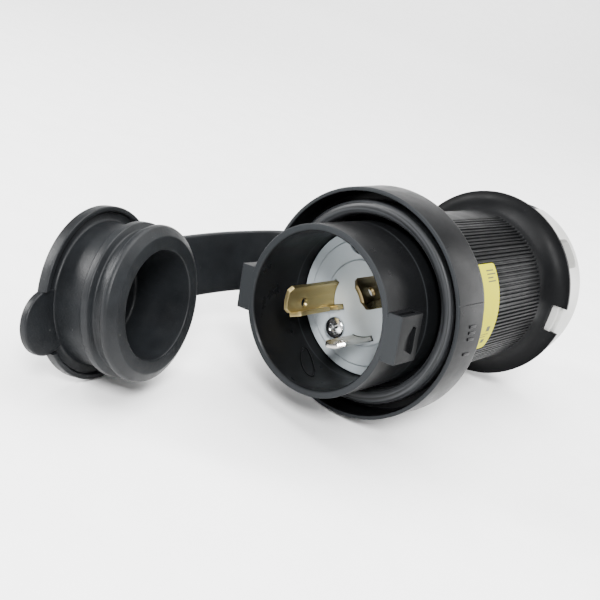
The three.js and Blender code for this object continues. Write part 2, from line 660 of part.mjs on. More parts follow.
addNode('barrel', barrel(), BARREL_BLACK);
addNode('rating_label', ratingLabel(), LABEL_YELLOW);
addNode('cord_grommet', cordGrommet(), CAP_RUBBER);
addNode('clamp_body', clampBody(), WHITE_NYLON);
ASSEMBLY_SCREWS.forEach((clock, i) => {
  const screw = panScrew(3.6, 2.4, 1.7, 18);
  const at = clockPoint(clock, ASSEMBLY_SCREW_R, CLAMP_DECK_Y + 2 + GAP);
  addNode(`assembly_screw_${i + 1}`, screw.translate([at.x, at.y, at.z]), STEEL);
});

addNode('clamp_jaw_upper', clampJaw(SMOOTH_CLOCK, false), JAW_GREY);
addNode('clamp_jaw_lower', clampJaw(SMOOTH_CLOCK + 180, true), JAW_GREY);
const clampScrewY = (CLAMP_DECK_Y + CLAMP_END_Y) / 2;
[-1, 1].forEach((side, i) => {
  const screw = panScrew(4.2, 2.6, 2.0, 2 * CLAMP_HEAD_R + 6);
  addNode(`clamp_screw_${i + 1}`, screwFacingOut(
    screw, SMOOTH_CLOCK, CLAMP_HEAD_R + GAP, side * CLAMP_SCREW_SIDE, clampScrewY), STEEL);
});
clampNuts().forEach((nut, i) => addNode(`clamp_nut_${i + 1}`, nut, STEEL));

addNode('tether_ring', tetherRing(), CAP_RUBBER, tetherGroup);
addNode('strap_root', strapRoot(), CAP_RUBBER, tetherGroup);
addNode('strap_bend', strapBend(), CAP_RUBBER, tetherGroup);
const strapRunSolid = strapRun(BOW_PIVOT, END_PIVOT, 0.9, 0.9, STRAP_SHIFT, TIP_SHIFT + 0.2);
addNode('strap_run', strapRunSolid, CAP_RUBBER, tetherGroup);
addNode('strap_tip', strapTip(), CAP_RUBBER, tetherGroup);
addNode('closure_cap', placeCap(closureCap()), CAP_RUBBER, tetherGroup);

tetherGroup.rotation.y = rad(CAP_PLANE_CLOCK);
plugGroup.add(tetherGroup);

// The plug lies on the lower edge of its collar and of the cap's flange.
const FLANGE_EDGE_DEPTH = 25.0;
const capCentreRho = CAP_HOLD.rho - HOLD_R * Math.sin(rad(CAP_TILT))
  + (FLANGE_EDGE_DEPTH - HOLD_DEPTH) * Math.cos(rad(CAP_TILT));
const capEdgeR = Math.hypot(capCentreRho, FLANGE_R);
const capEdgeClock = CAP_PLANE_CLOCK - THREE.MathUtils.radToDeg(Math.atan2(FLANGE_R, capCentreRho));
const layClock = -(90 + capEdgeClock - THREE.MathUtils.radToDeg(Math.acos(COLLAR_REAR_R / capEdgeR)));
plugGroup.rotation.y = rad(layClock);

const group = new THREE.Group();
group.add(plugGroup);
export default group;
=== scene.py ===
# Looks of the watertight plug with its closure cap, on the bodies of its CAD frame.
# The row frame is in metres: -Y out of the blade face, +Z up. Sizes below are in millimetres.
import json
import math

import bmesh
import bpy
import numpy as np
from mathutils import Matrix, Vector


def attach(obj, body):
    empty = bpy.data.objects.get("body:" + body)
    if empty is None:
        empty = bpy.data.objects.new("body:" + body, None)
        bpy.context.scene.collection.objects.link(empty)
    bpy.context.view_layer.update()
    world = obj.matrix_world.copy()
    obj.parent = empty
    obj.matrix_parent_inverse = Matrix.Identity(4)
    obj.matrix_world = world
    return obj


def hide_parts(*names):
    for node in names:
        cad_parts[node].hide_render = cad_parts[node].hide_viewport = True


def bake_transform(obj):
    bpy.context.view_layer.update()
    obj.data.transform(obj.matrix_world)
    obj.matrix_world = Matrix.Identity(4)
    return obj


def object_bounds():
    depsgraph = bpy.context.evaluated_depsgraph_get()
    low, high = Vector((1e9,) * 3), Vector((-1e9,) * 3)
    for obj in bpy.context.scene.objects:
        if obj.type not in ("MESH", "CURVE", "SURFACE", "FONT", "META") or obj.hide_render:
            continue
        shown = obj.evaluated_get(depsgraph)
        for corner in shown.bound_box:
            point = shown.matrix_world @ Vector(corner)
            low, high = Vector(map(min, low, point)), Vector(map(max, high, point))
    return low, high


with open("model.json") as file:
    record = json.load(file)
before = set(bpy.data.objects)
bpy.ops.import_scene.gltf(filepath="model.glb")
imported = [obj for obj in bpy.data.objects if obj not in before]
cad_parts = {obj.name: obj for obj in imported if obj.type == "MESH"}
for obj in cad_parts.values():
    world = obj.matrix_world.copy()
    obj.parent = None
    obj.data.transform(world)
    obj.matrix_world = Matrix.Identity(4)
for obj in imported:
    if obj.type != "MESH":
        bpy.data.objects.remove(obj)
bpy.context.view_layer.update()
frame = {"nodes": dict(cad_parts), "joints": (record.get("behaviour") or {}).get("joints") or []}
JOINTS = {j["name"]: j for j in frame["joints"]}

MM = 0.001
# The strap's hinge axis gives how far the strap's plane is turned round the plug's axis.
ACROSS = Vector(JOINTS["cap_swing"]["axis"])
TETHER_TURN = math.degrees(math.atan2(ACROSS.x, ACROSS.z))
STRAP_CLOCK = -4.0
LAY = TETHER_TURN - STRAP_CLOCK    # clock angles below are counted before the plug is laid down


# ---- frames of reference ------------------------------------------------------------------------------
def clock_vec(clock, r, y):
    a = math.radians(clock + LAY)
    return Vector((-r * math.cos(a), y, r * math.sin(a))) * MM


def clock_matrix(clock, r=0.0, y=0.0, side=0.0):
    """Local X points outwards at the clock angle, Y along the plug, Z to the side of rising angle."""
    a = math.radians(clock + LAY)
    out = Vector((-math.cos(a), 0, math.sin(a)))
    along = Vector((0, 1, 0))
    side_way = Vector((math.sin(a), 0, math.cos(a)))
    m = Matrix((out, along, side_way)).transposed().to_4x4()
    m.translation = (out * r + along * y + side_way * side) * MM
    return m


def tether_vec(rho, y, z=0.0):
    a = math.radians(TETHER_TURN)
    return Vector((-rho * math.cos(a) + z * math.sin(a), y, rho * math.sin(a) + z * math.cos(a))) * MM


# ---- mesh building ------------------------------------------------------------------------------------
def new_object(name, verts, faces, matrix=None):
    mesh = bpy.data.meshes.new(name)
    mesh.from_pydata([tuple(v) for v in verts], [], faces)
    mesh.update()
    obj = bpy.data.objects.new(name, mesh)
    bpy.context.scene.collection.objects.link(obj)
    if matrix is not None:
        mesh.transform(matrix)
    return obj


def recalc(obj, merge=True):
    """Merges double points and turns every face outwards."""
    bm = bmesh.new()
    bm.from_mesh(obj.data)
    if merge:
        bmesh.ops.remove_doubles(bm, verts=bm.verts, dist=1e-7)
    bmesh.ops.recalc_face_normals(bm, faces=bm.faces)
    bm.to_mesh(obj.data)
    bm.free()
    return obj


def loft_faces(rings, points, closed=True):
    """Quads between rings of points; a closed loft joins its last ring to its first."""
    faces = []
    for i in range(rings if closed else rings - 1):
        j = (i + 1) % rings
        for k in range(points):
            m = (k + 1) % points
            faces.append((i * points + k, i * points + m, j * points + m, j * points + k))
    return faces


def rounded(profile, radii, steps=4):
    """A closed profile whose corners are rounded; radii holds one size per corner."""
    most = 0.48        # the share of an edge that one corner may take
    out = []
    n = len(profile)
    for i, (point, r) in enumerate(zip(profile, radii)):
        p = np.array(point, float)
        a = np.array(profile[i - 1], float)
        b = np.array(profile[(i + 1) % n], float)
        da, db = a - p, b - p
        la, lb = np.linalg.norm(da), np.linalg.norm(db)
        if r <= 0 or la < 1e-9 or lb < 1e-9:
            out.append(tuple(p))
            continue
        size = min(r, la * most, lb * most)
        p0, p1 = p + da / la * size, p + db / lb * size
        for k in range(steps + 1):
            t = k / steps
            q = (1 - t) ** 2 * p0 + 2 * t * (1 - t) * p + t * t * p1
            out.append(tuple(q))
    return out


def turned(name, profile, steps=256, matrix=None):
    """A closed (radius, y) profile turned round the Y axis."""
    verts = []
    for i in range(steps):
        a = 2 * math.pi * i / steps
        for r, y in profile:
            r = max(r, 0.0)
            verts.append((-r * math.cos(a) * MM, y * MM, r * math.sin(a) * MM))
    return recalc(new_object(name, verts, loft_faces(steps, len(profile)), matrix))


def turned_solid(name, profile, radii, steps=224):
    """A turned profile with rounded corners."""
    return turned(name, rounded(profile, radii), steps)


def box(name, lo, hi, matrix=None, bevel=0.0, segments=3):
    x0, y0, z0 = [c * MM for c in lo]
    x1, y1, z1 = [c * MM for c in hi]
    verts = [(x0, y0, z0), (x1, y0, z0), (x1, y1, z0), (x0, y1, z0),
             (x0, y0, z1), (x1, y0, z1), (x1, y1, z1), (x0, y1, z1)]
    faces = [(0, 3, 2, 1), (4, 5, 6, 7), (0, 1, 5, 4), (1, 2, 6, 5), (2, 3, 7, 6), (3, 0, 4, 7)]
    obj = new_object(name, verts, faces)
    if bevel > 0:
        bm = bmesh.new()
        bm.from_mesh(obj.data)
        bmesh.ops.bevel(bm, geom=bm.edges[:], offset=bevel * MM, segments=segments, profile=0.6,
                        affect="EDGES")
        bm.to_mesh(obj.data)
        bm.free()
    if matrix is not None:
        obj.data.transform(matrix)
    return recalc(obj)


def rod(name, r, y0, y1, matrix=None, steps=64, bevel=0.0):
    """A cylinder along Y."""
    ring = [(0, y0), (r, y0), (r, y1), (0, y1)]
    radii = [0, bevel, bevel, 0]
    return turned(name, rounded(ring, radii), steps, matrix)


def sector(name, r0, r1, clock0, clock1, y0, y1, steps=32):
    """A block between two radii and two clock angles."""
    verts = []
    for i in range(steps + 1):
        c = clock0 + (clock1 - clock0) * i / steps
        for r, y in ((r0, y0), (r1, y0), (r1, y1), (r0, y1)):
            verts.append(clock_vec(c, r, y))
    faces = loft_faces(steps + 1, 4, closed=False)
    faces.append((0, 1, 2, 3))
    e = 4 * steps
    faces.append((e + 3, e + 2, e + 1, e))
    return recalc(new_object(name, verts, faces))


def apply_modifiers(obj):
    dg = bpy.context.evaluated_depsgraph_get()
    mesh = bpy.data.meshes.new_from_object(obj.evaluated_get(dg))
    obj.modifiers.clear()
    old = obj.data
    obj.data = mesh
    bpy.data.meshes.remove(old)
    return obj


def combine(target, tool, how):
    mod = target.modifiers.new("b", "BOOLEAN")
    mod.operation = how
    mod.solver = "EXACT"
    mod.object = tool
    bpy.context.view_layer.update()
    apply_modifiers(target)
    bpy.data.objects.remove(tool)
    return target


def cut(target, *tools):
    for tool in tools:
        combine(target, tool, "DIFFERENCE")
    return target


def join(target, *tools):
    for tool in tools:
        combine(target, tool, "UNION")
    return target


def soften(obj, width, angle=34, segments=2):
    mod = obj.modifiers.new("soft", "BEVEL")
    mod.width = width * MM
    mod.segments = segments
    mod.limit_method = "ANGLE"
    mod.angle_limit = math.radians(angle)
    mod.use_clamp_overlap = True
    mod.harden_normals = False
    bpy.context.view_layer.update()
    return apply_modifiers(obj)


def smooth(obj, angle=32):
    mesh = obj.data
    for p in mesh.polygons:
        p.use_smooth = True
    mesh.set_sharp_from_angle(angle=math.radians(angle))
    return obj


def place(obj, name, body, material, nodes, angle=32):
    """Names and paints a piece, puts it on its body and hides the CAD nodes it replaces."""
    obj.name = name
    obj.data.name = name
    smooth(obj, angle)
    obj.data.materials.clear()
    obj.data.materials.append(material)
    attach(obj, body)
    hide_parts(*nodes)


# ---- materials ----------------------------------------------------------------------------------------
def links_of(mat):
    mat.use_nodes = True
    return mat.node_tree.nodes, mat.node_tree.links


def ramp(nodes, stops):
    node = nodes.new("ShaderNodeValToRGB")
    elements = node.color_ramp.elements
    while len(elements) > 1:
        elements.remove(elements[-1])
    elements[0].position, elements[0].color = stops[0][0], (*stops[0][1], 1)
    for position, color in stops[1:]:
        elements.new(position).color = (*color, 1)
    return node


def grey(v):
    return (v, v, v)


def compute(nodes, links, operation, *values):
    """A math node whose inputs are sockets or plain numbers."""
    node = nodes.new("ShaderNodeMath")
    node.operation = operation
    for socket, value in zip(node.inputs, values):
        if isinstance(value, (int, float)):
            socket.default_value = value
        else:
            links.new(value, socket)
    return node.outputs[0]


def mixed(nodes, links, factor, color, other):
    """A colour socket mixed with one plain colour."""
    mix = nodes.new("ShaderNodeMix")
    mix.data_type = "RGBA"
    links.new(factor, mix.inputs["Factor"])
    links.new(color, mix.inputs["A"])
    mix.inputs["B"].default_value = (*other, 1)
    return mix.outputs["Result"]


def ring_coords(nodes, links, coords):
    """Distance from the plug's axis and place along it, with a slow drift round it.

    Streaks laid out by these follow the turning."""
    flat = nodes.new("ShaderNodeVectorMath")
    flat.operation = "MULTIPLY"
    links.new(coords.outputs["Object"], flat.inputs[0])
    flat.inputs[1].default_value = (1, 0, 1)
    radius = nodes.new("ShaderNodeVectorMath")
    radius.operation = "LENGTH"
    links.new(flat.outputs["Vector"], radius.inputs[0])
    split = nodes.new("ShaderNodeSeparateXYZ")
    links.new(coords.outputs["Object"], split.inputs["Vector"])
    lay = nodes.new("ShaderNodeCombineXYZ")
    links.new(radius.outputs["Value"], lay.inputs["X"])
    links.new(split.outputs["Y"], lay.inputs["Y"])
    drift = nodes.new("ShaderNodeVectorMath")
    drift.operation = "MULTIPLY_ADD"
    links.new(flat.outputs["Vector"], drift.inputs[0])
    drift.inputs[1].default_value = (0.03, 0.03, 0.03)
    links.new(lay.outputs["Vector"], drift.inputs[2])
    return drift.outputs["Vector"]


def surface(name, dark, light, rough, bump=0.15, grain=900.0, metal=0.0, specks=0.0, speck_color=0.35,
            stretch=(1, 1, 1), specular=0.5, subsurface=0.0, patch=45.0, painted_light=None, around=False):
    """A moulded or plated surface.

    It has two tones in soft patches, uneven gloss, fine grain and small pale specks."""
    mat = bpy.data.materials.new(name)
    nodes, links = links_of(mat)
    bsdf = nodes["Principled BSDF"]
    coords = nodes.new("ShaderNodeTexCoord")
    mapping = nodes.new("ShaderNodeMapping")
    mapping.inputs["Scale"].default_value = stretch
    links.new(coords.outputs["Object"], mapping.inputs["Vector"])
    where = mapping.outputs["Vector"]
    if around:
        where = ring_coords(nodes, links, coords)

    def noise(scale, detail=4.0, roughness=0.55):
        node = nodes.new("ShaderNodeTexNoise")
        node.inputs["Scale"].default_value = scale
        node.inputs["Detail"].default_value = detail
        node.inputs["Roughness"].default_value = roughness
        links.new(where, node.inputs["Vector"])
        return node

    patches = noise(patch, 5.0)
    tone = ramp(nodes, [(0.34, dark), (0.66, light)])
    links.new(patches.outputs["Fac"], tone.inputs["Fac"])
    color = tone.outputs["Color"]
    if specks > 0:
        dots = nodes.new("ShaderNodeTexVoronoi")
        dots.inputs["Scale"].default_value = 420.0
        links.new(where, dots.inputs["Vector"])
        near = ramp(nodes, [(0.045, grey(1.0)), (0.075, grey(0.0))])
        links.new(dots.outputs["Distance"], near.inputs["Fac"])
        some = noise(170.0, 2.0)
        few = ramp(nodes, [(0.60, grey(0.0)), (0.66, grey(specks))])
        links.new(some.outputs["Fac"], few.inputs["Fac"])
        both = compute(nodes, links, "MULTIPLY", near.outputs["Color"], few.outputs["Color"])
        color = mixed(nodes, links, both, color, grey(speck_color))
    # a hook that paints light into the colour; the black plastic uses it for a painted highlight on its front
    # edges
    if painted_light is not None:
        color = painted_light(nodes, links, color, coords)
    links.new(color, bsdf.inputs["Base Color"])
    gloss = noise(patch * 3.1, 6.0, 0.6)
    band = ramp(nodes, [(0.3, grey(max(rough - 0.07, 0.03))), (0.7, grey(rough + 0.08))])
    links.new(gloss.outputs["Fac"], band.inputs["Fac"])
    links.new(band.outputs["Color"], bsdf.inputs["Roughness"])
    fine = noise(grain, 3.0)
    relief = nodes.new("ShaderNodeBump")
    relief.inputs["Strength"].default_value = bump
    relief.inputs["Distance"].default_value = 0.0001
    links.new(fine.outputs["Fac"], relief.inputs["Height"])
    links.new(relief.outputs["Normal"], bsdf.inputs["Normal"])
    bsdf.inputs["Metallic"].default_value = metal
    bsdf.inputs["Specular IOR Level"].default_value = specular
    bsdf.inputs["Subsurface Weight"].default_value = subsurface
    bsdf.inputs["Subsurface Radius"].default_value = (0.004, 0.004, 0.004)
    bsdf.inputs["Subsurface Scale"].default_value = 0.4
    return mat


def painted_rim_highlight(nodes, links, color, coords):
    """A painted highlight: the collar's and the shroud's front edges are painted paler, as if lit."""
    split = nodes.new("ShaderNodeSeparateXYZ")
    links.new(coords.outputs["Object"], split.inputs["Vector"])
    masks = []
    for y in (RIM_Y, COLLAR_FRONT_Y):
        away = compute(nodes, links, "SUBTRACT", split.outputs["Y"], y * MM)
        mask = nodes.new("ShaderNodeMapRange")
        mask.inputs["From Min"].default_value = 0.0001
        mask.inputs["From Max"].default_value = 0.0006
        mask.inputs["To Min"].default_value = 1.0
        mask.inputs["To Max"].default_value = 0.0
        links.new(compute(nodes, links, "ABSOLUTE", away), mask.inputs["Value"])
        masks.append(mask.outputs["Result"])
    highlight_mask = compute(nodes, links, "MAXIMUM", *masks)
    # the pale colour here is the painted highlight on the front edges
    return mixed(nodes, links, highlight_mask, color, (0.016, 0.0175, 0.019))


RIM_Y = -28.6
COLLAR_FRONT_Y = -4.0
BRUSHED = (1.0, 0.12, 1.0)      # the blades' grain is drawn out along the plug

# the black plastic's front edges carry a painted highlight
M_BLACK = surface(
    "black_plastic", (0.0026, 0.0027, 0.0030), (0.0042, 0.0045, 0.0049), 0.33, bump=0.10, grain=1500,
    specks=0.35, speck_color=0.08, specular=0.06, painted_light=painted_rim_highlight)
M_BARREL = surface(
    "barrel_plastic", (0.0022, 0.0023, 0.0025), (0.0038, 0.0040, 0.0044), 0.42, bump=0.16, grain=1300,
    specks=0.3, speck_color=0.05, specular=0.06)
M_RUBBER = surface(
    "cap_rubber", (0.0036, 0.0041, 0.0048), (0.0068, 0.0078, 0.0089), 0.44, bump=0.55, grain=1700,
    specks=1.0, speck_color=0.10, patch=70.0, specular=0.17)
M_SEAL = surface(
    "seal_rubber", (0.005, 0.0055, 0.006), (0.036, 0.038, 0.041), 0.40, bump=0.35, grain=2600,
    patch=1300.0, specular=0.2, around=True)
M_FACE = surface(
    "face_nylon", (0.40, 0.45, 0.48), (0.48, 0.53, 0.56), 0.36, bump=0.10, grain=700, subsurface=0.15)
M_WHITE = surface(
    "white_nylon", (0.33, 0.33, 0.315), (0.41, 0.41, 0.395), 0.36, bump=0.12, grain=600,
    subsurface=0.15, specks=0.25, speck_color=0.30)
M_JAW = surface(
    "jaw_plastic", (0.009, 0.010, 0.012), (0.016, 0.018, 0.021), 0.46, bump=0.2, grain=900,
    specks=0.3, specular=0.3)
M_BRASS = surface(
    "brass", (0.40, 0.32, 0.145), (0.52, 0.42, 0.20), 0.32, bump=0.10, grain=240, metal=1.0,
    stretch=BRUSHED, patch=60.0)
M_BRONZE = surface(
    "bronze", (0.13, 0.10, 0.05), (0.25, 0.195, 0.10), 0.30, bump=0.10, grain=240, metal=1.0,
    stretch=BRUSHED, patch=60.0)
M_NICKEL = surface(
    "nickel", (0.46, 0.44, 0.40), (0.66, 0.64, 0.60), 0.22, bump=0.10, grain=300, metal=1.0,
    stretch=BRUSHED, patch=90.0)
M_STEEL = surface(
    "steel", (0.44, 0.45, 0.46), (0.70, 0.71, 0.72), 0.20, bump=0.10, grain=800, metal=1.0, patch=300.0)
M_GREEN = surface(
    "green_screw", (0.02, 0.09, 0.035), (0.04, 0.16, 0.06), 0.32, bump=0.15, grain=800, metal=0.4)


# Printed bars: (from, to) along the label, then (from, to) across it, as shares of its size.
LABEL_BARS = [
    (0.07, 0.085, 0.50, 0.86), (0.11, 0.125, 0.50, 0.92), (0.15, 0.165, 0.50, 0.78),
    (0.19, 0.205, 0.50, 0.88), (0.70, 0.76, 0.60, 0.78), (0.79, 0.80, 0.42, 0.80),
    (0.82, 0.83, 0.42, 0.70), (0.86, 0.91, 0.58, 0.74),
]


def label_material():
    """A yellow sticker with plain printed bars."""
    mat = surface("label", (0.36, 0.34, 0.0), (0.40, 0.38, 0.0), 0.6, bump=0.06, grain=900, specular=0.1)
    nodes, links = links_of(mat)
    bsdf = nodes["Principled BSDF"]
    base = bsdf.inputs["Base Color"].links[0].from_socket
    uv = nodes.new("ShaderNodeUVMap")
    uv.uv_map = "print"
    split = nodes.new("ShaderNodeSeparateXYZ")
    links.new(uv.outputs["UV"], split.inputs["Vector"])

    def inside(source, lo, hi):
        above = compute(nodes, links, "GREATER_THAN", source, lo)
        below = compute(nodes, links, "LESS_THAN", source, hi)
        return compute(nodes, links, "MULTIPLY", above, below)

    ink = None
    for u0, u1, v0, v1 in LABEL_BARS:
        along, across = inside(split.outputs["X"], u0, u1), inside(split.outputs["Y"], v0, v1)
        bar = compute(nodes, links, "MULTIPLY", along, across)
        ink = bar if ink is None else compute(nodes, links, "MAXIMUM", ink, bar)
    links.new(mixed(nodes, links, ink, base, (0.06, 0.065, 0.04)), bsdf.inputs["Base Color"])
    return mat


M_LABEL = label_material()

# ---- shroud, lugs and collar --------------------------------------------------------------------------
FINE_STEPS = 288
SHROUD_BORE, SHROUD_R = 27.4, 30.0
COLLAR_IN, COLLAR_OUT = 40.9, 42.35
SEAM_CLOCK = 165
MARK_CLOCKS = (175.4, 178.4, 181.4, 189.0)

shell = turned_solid("shroud_shell", [
    (SHROUD_BORE, RIM_Y + 0.7), (28.0, RIM_Y), (SHROUD_R, RIM_Y), (SHROUD_R, 8.0), (COLLAR_IN, 8.0),
    (COLLAR_IN, COLLAR_FRONT_Y), (COLLAR_OUT, COLLAR_FRONT_Y), (42.85, 12.4), (42.0, 13.5), (31.9, 13.5),
    (31.9, 29.0), (SHROUD_BORE, 29.0),
], [0.1, 0.12, 0.35, 1.6, 1.2, 0.25, 0.45, 0.6, 0.6, 1.0, 0.3, 0.2], FINE_STEPS)


def lug(clock):
    """A bayonet block on the shroud, undercut at one side, with a slanted pocket in its outer face."""
    turn = clock_matrix(clock)
    body = box("lug", (29.0, RIM_Y, -8.2), (34.6, RIM_Y + 13.0, 8.2), bevel=0.45, matrix=turn)
    undercut = box("undercut", (31.2, RIM_Y + 1.6, -9.5), (32.9, RIM_Y + 10.6, -7.2), bevel=0.3, matrix=turn)
    outline = [(4.0, 0.8), (4.4, 3.2), (9.6, 5.6), (10.2, 4.4), (10.0, -3.6), (8.2, -4.4)]
    n = len(outline)
    verts = []
    for x, shift in ((33.2, 0.25), (36.0, 0.0)):
        verts += [(x * MM, (RIM_Y + y - shift) * MM, z * MM) for y, z in outline]
    faces = [tuple(range(n - 1, -1, -1)), tuple(range(n, 2 * n))]
    faces += [(i, (i + 1) % n, n + (i + 1) % n, n + i) for i in range(n)]
    pocket = recalc(new_object("pocket", verts, faces, turn))
    return cut(body, undercut, pocket)


def wall_oval(clock, y, half_long, half_wide, slant, thick=0.32, steps=72, round_steps=8):
    """A raised oval outline on the shroud's inner wall."""
    verts = []
    tilt = math.radians(slant)
    for i in range(steps):
        a = 2 * math.pi * i / steps
        u, v = half_long * math.cos(a), half_wide * math.sin(a)
        du, dv = half_wide * math.cos(a), half_long * math.sin(a)
        size = math.hypot(du, dv)
        for k in range(round_steps):
            b = 2 * math.pi * k / round_steps
            wide = thick * math.cos(b)
            uu, vv = u + wide * du / size, v + wide * dv / size
            along = uu * math.cos(tilt) - vv * math.sin(tilt)
            across = uu * math.sin(tilt) + vv * math.cos(tilt)
            turn = clock + math.degrees(along / SHROUD_BORE)
            verts.append(clock_vec(turn, SHROUD_BORE - thick * math.sin(b), y + across))
    return recalc(new_object("oval", verts, loft_faces(steps, round_steps)))


join(shell, lug(0), lug(180), wall_oval(-66.5, -12.0, half_long=8.6, half_wide=2.6, slant=38.0))
cut(shell, box("seam", (42.1, -6, -0.12), (44, 14.5, 0.12), matrix=clock_matrix(SEAM_CLOCK)))
for clock in MARK_CLOCKS:
    join(shell, box("mark", (42.0, 3.2, -0.55), (42.95, 7.6, 0.55), matrix=clock_matrix(clock), bevel=0.3))
place(shell, "shroud_shell", "plug", M_BLACK, ["shroud_housing"], angle=30)

BEAD_R, BEAD_Y, BEAD_SIZE = 34.95, 2.05, 2.65
BEAD_STEPS = 16
GASKET_BACK = 7.6

gasket_profile = [(37.6, GASKET_BACK)]
for k in range(BEAD_STEPS + 1):
    a = math.pi * k / BEAD_STEPS
    gasket_profile.append((BEAD_R + BEAD_SIZE * math.cos(a), BEAD_Y - BEAD_SIZE * math.sin(a) ** 0.8))
gasket_profile.append((32.3, GASKET_BACK))
gasket = turned("gasket_bead", gasket_profile, steps=FINE_STEPS)
place(gasket, "gasket_bead", "plug", M_SEAL, ["collar_gasket"], angle=60)

# ---- blade face, blades and screws --------------------------------------------------------------------
# Each blade's clock angles: its middle, and where it starts and ends.
GROUND = (1, -20, 22)
HOT = (142, 117, 167)
NEUTRAL = (-103, -122, -84)
BLADE_IN, BLADE_MID, BLADE_OUT = 12.55, 13.3, 14.05
GROUND_TIP, LINE_TIP = -27.4, -18.4
FOOT_CLOCK = -20
SLOT_GAP = 0.3
# The face screws' clock angles and distances from the axis.
CENTRE_SCREW = (-53, 15.2)
EDGE_SCREW = (76, 21.8)
# Turns what lies along Y so that it points out of the plug's side, or out of its front.
SIDEWAYS = Matrix.Rotation(-math.pi / 2, 4, "Z")
FRONT = Matrix.Rotation(math.pi, 4, "X")

face = turned_solid("blade_face", [
    (0.0, 0.0), (15.6, 0.0), (16.1, 0.55), (16.6, 0.6), (23.2, 0.6), (23.7, 1.15), (27.1, 1.2),
    (27.1, 12.0), (0.0, 12.0),
], [0, 0.15, 0.2, 0.2, 0.2, 0.2, 0.4, 0.3, 0], 192)
slot_edge = math.degrees(SLOT_GAP / BLADE_MID)
for _, lo, hi in (GROUND, HOT, NEUTRAL):
    cut(face, sector("slot", BLADE_IN - SLOT_GAP, BLADE_OUT + SLOT_GAP, lo - slot_edge, hi + slot_edge,
                     -2, 13))
cut(face, box("foot_slot", (8.2, -3, -1.8), (14.35, 13, 0.4), matrix=clock_matrix(FOOT_CLOCK)))
cut(face, rod("notch", 4.9, -2, 3.2, matrix=clock_matrix(EDGE_SCREW[0], 22.7), steps=64))
for clock, r in (CENTRE_SCREW, EDGE_SCREW):
    cut(face, rod("hole", 2.0, -3, 13, matrix=clock_matrix(clock, r), steps=32))
place(face, "blade_face", "plug", M_FACE, ["blade_carrier"], angle=28)


def arc_blade(name, spec, tip, hole_y, bite=1.1, hole_turn=0.0):
    """A curved blade with cut corners, a hole near its tip, and a tail for its terminal screw."""
    middle, lo, hi = spec
    body = sector(name, BLADE_IN, BLADE_OUT, lo, hi, tip, 14.0, steps=40)
    for clock in (lo, hi):
        slanted = clock_matrix(clock, BLADE_MID, tip) @ Matrix.Rotation(math.pi / 4, 4, "X")
        cut(body, box("corner", (-3, -bite, -bite), (3, bite, bite), matrix=slanted))
    hole_place = clock_matrix(middle + hole_turn, BLADE_MID, hole_y) @ SIDEWAYS
    cut(body, rod("hole", 1.75, -5, 5, matrix=hole_place, steps=48))
    join(body, sector("tail", BLADE_IN, BLADE_OUT, middle - 17, middle + 17, 13.0, 32.0, steps=20))
    screw_place = clock_matrix(middle, BLADE_MID, 26.0) @ SIDEWAYS
    return cut(body, rod("screw_hole", 2.2, -5, 5, matrix=screw_place, steps=32))


ground = arc_blade("ground_prong", GROUND, GROUND_TIP, GROUND_TIP + 9.6, hole_turn=-8.0)
for y0, y1 in ((GROUND_TIP + 2.6, GROUND_TIP + 19.5), (GROUND_TIP + 24.5, 10.0)):
    foot_place = clock_matrix(FOOT_CLOCK)
    join(ground, box("foot", (8.65, y0, -1.5), (13.95, y1, 0.05), matrix=foot_place, bevel=0.18, segments=2))
place(soften(ground, 0.22, angle=40), "ground_prong", "plug", M_BRASS, ["ground_blade"], angle=35)
for name, spec, bite, slot, material in (("hot", HOT, 2.0, "bronze", M_BRONZE),
                                         ("neutral", NEUTRAL, 1.4, "nickel", M_NICKEL)):
    prong = soften(arc_blade(f"{name}_prong", spec, LINE_TIP, LINE_TIP + 6.4, bite), 0.2, angle=40)
    place(prong, f"{name}_prong", "plug", material, [f"{name}_blade"], angle=35)


def pan_screw(name, body, node, size, matrix):
    """A cross-head screw; its head points to local +Y, and its seat is at 0.

    The size is the head's radius and height, and the shaft's radius and length."""
    head_r, head_h, shaft_r, length = size
    edge = 0.35        # the share of the head's height that stands straight
    dome_steps = 6
    dome = [(0, -length), (shaft_r, -length), (shaft_r, 0), (head_r, 0), (head_r, head_h * edge)]
    for k in range(1, dome_steps + 1):
        a = math.pi / 2 * k / dome_steps
        r = head_r * math.cos(a * 0.98) if k < dome_steps else 0.0
        dome.append((r, head_h * (edge + 0.65 * math.sin(a))))
    screw = turned(name, dome, steps=64)
    for turn in (0, math.pi / 2):
        lo, hi = (-head_r * 0.55, head_h * 0.38, -0.42), (head_r * 0.55, head_h * 1.4, 0.42)
        cross_turn = Matrix.Rotation(turn + 0.35, 4, "Y")
        cut(screw, box("arm", lo, hi, bevel=0.12, segments=1, matrix=cross_turn))
    cut(screw, rod("core", head_r * 0.26, head_h * 0.25, head_h * 1.5, steps=20))
    screw.data.transform(matrix)
    place(soften(screw, 0.07, angle=40, segments=2), name, body, M_STEEL, [node])


pan_screw("face_screw_1", "plug", "face_screw_centre", (4.1, 1.9, 1.7, 17),
          clock_matrix(*CENTRE_SCREW, -0.3) @ FRONT)
pan_screw("face_screw_2", "plug", "face_screw_edge", (3.4, 1.7, 1.7, 13),
          clock_matrix(*EDGE_SCREW, 2.9) @ FRONT)

# ---- barrel and label ---------------------------------------------------------------------------------
CORE_R, RIB_R = 31.6, 32.4
PLAIN_R = RIB_R - 0.25
FLARE_Y, SKIRT_R, SKIRT_Y = 83.8, 40.7, 95.2
FLARE_END = SKIRT_Y - 1.6
SMOOTH_CLOCK = 74.0                    # the middle of the plain strip, which is there on the far side too
RIBS_FROM, RIBS_SPAN = 27.0, 126.0     # degrees past that middle, and degrees of ribs
RIBS = 44
LABEL_CLOCKS = (143.5, 206.0)
LABEL_Y = (29.8, 45.3)
NOTCH_CLOCK = 189.5
BOLT_CLOCKS, BOLT_R = (145.5, 325.5), 28.2


